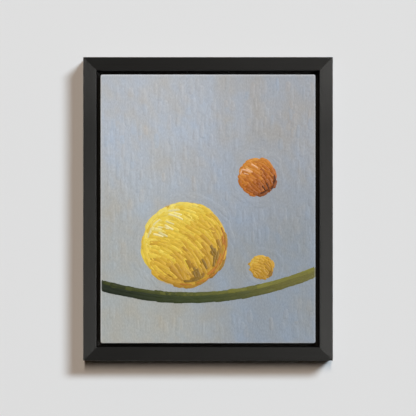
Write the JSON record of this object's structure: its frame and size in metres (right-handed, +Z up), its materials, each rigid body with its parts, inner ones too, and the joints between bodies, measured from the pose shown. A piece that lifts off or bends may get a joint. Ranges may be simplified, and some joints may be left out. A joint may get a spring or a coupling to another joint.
{
  "type": "framed canvas painting",
  "caption": "Small stretched canvas painting held in a black floater frame with an open channel round it, hung on one wall nail.",
  "frame": {"origin": "the middle notch of the sawtooth hanger, on the wall plane, where the wall nail carries the frame", "axes": "+Z up along the frame's height, +Y from the painted face back into the wall, +X to the right as the painting is seen; the wall is the plane y = 0"},
  "size_m": [0.2358, 0.0342, 0.2866],
  "materials": {
    "black_painted_wood": "satin black paint on wood, faint grain along each rail",
    "painted_canvas": "woven canvas, oil paint on the face, bare primed cloth behind",
    "pine": "planed bare pine",
    "staple_steel": "bright zinc-plated wire",
    "vnail_steel": "grey sheet steel",
    "fixing_steel": "zinc-plated steel",
    "hanger_steel": "zinc-plated pressed sheet",
    "bumper_rubber": "soft translucent grey"
  },
  "bodies": {
    "root": {"rail_top": "black_painted_wood", "rail_bottom": "black_painted_wood", "rail_left": "black_painted_wood", "rail_right": "black_painted_wood", "canvas": "painted_canvas", "bar_top": "pine", "bar_bottom": "pine", "bar_left": "pine", "bar_right": "pine", "staple_top_1": "staple_steel", "staple_top_2": "staple_steel", "staple_top_3": "staple_steel", "staple_top_4": "staple_steel", "staple_bottom_1": "staple_steel", "staple_bottom_2": "staple_steel", "staple_bottom_3": "staple_steel", "staple_bottom_4": "staple_steel", "staple_left_1": "staple_steel", "staple_left_2": "staple_steel", "staple_left_3": "staple_steel", "staple_left_4": "staple_steel", "staple_left_5": "staple_steel", "staple_right_1": "staple_steel", "staple_right_2": "staple_steel", "staple_right_3": "staple_steel", "staple_right_4": "staple_steel", "staple_right_5": "staple_steel", "vnail_top_left_outer": "vnail_steel", "vnail_top_left_inner": "vnail_steel", "vnail_top_right_outer": "vnail_steel", "vnail_top_right_inner": "vnail_steel", "vnail_bottom_left_outer": "vnail_steel", "vnail_bottom_left_inner": "vnail_steel", "vnail_bottom_right_outer": "vnail_steel", "vnail_bottom_right_inner": "vnail_steel", "screw_left_upper": "fixing_steel", "screw_left_lower": "fixing_steel", "screw_right_upper": "fixing_steel", "screw_right_lower": "fixing_steel", "hanger_plate": "hanger_steel", "hanger_nail_left": "fixing_steel", "hanger_nail_right": "fixing_steel", "bumper_left": "bumper_rubber", "bumper_right": "bumper_rubber"}
  },
  "joints": []
}
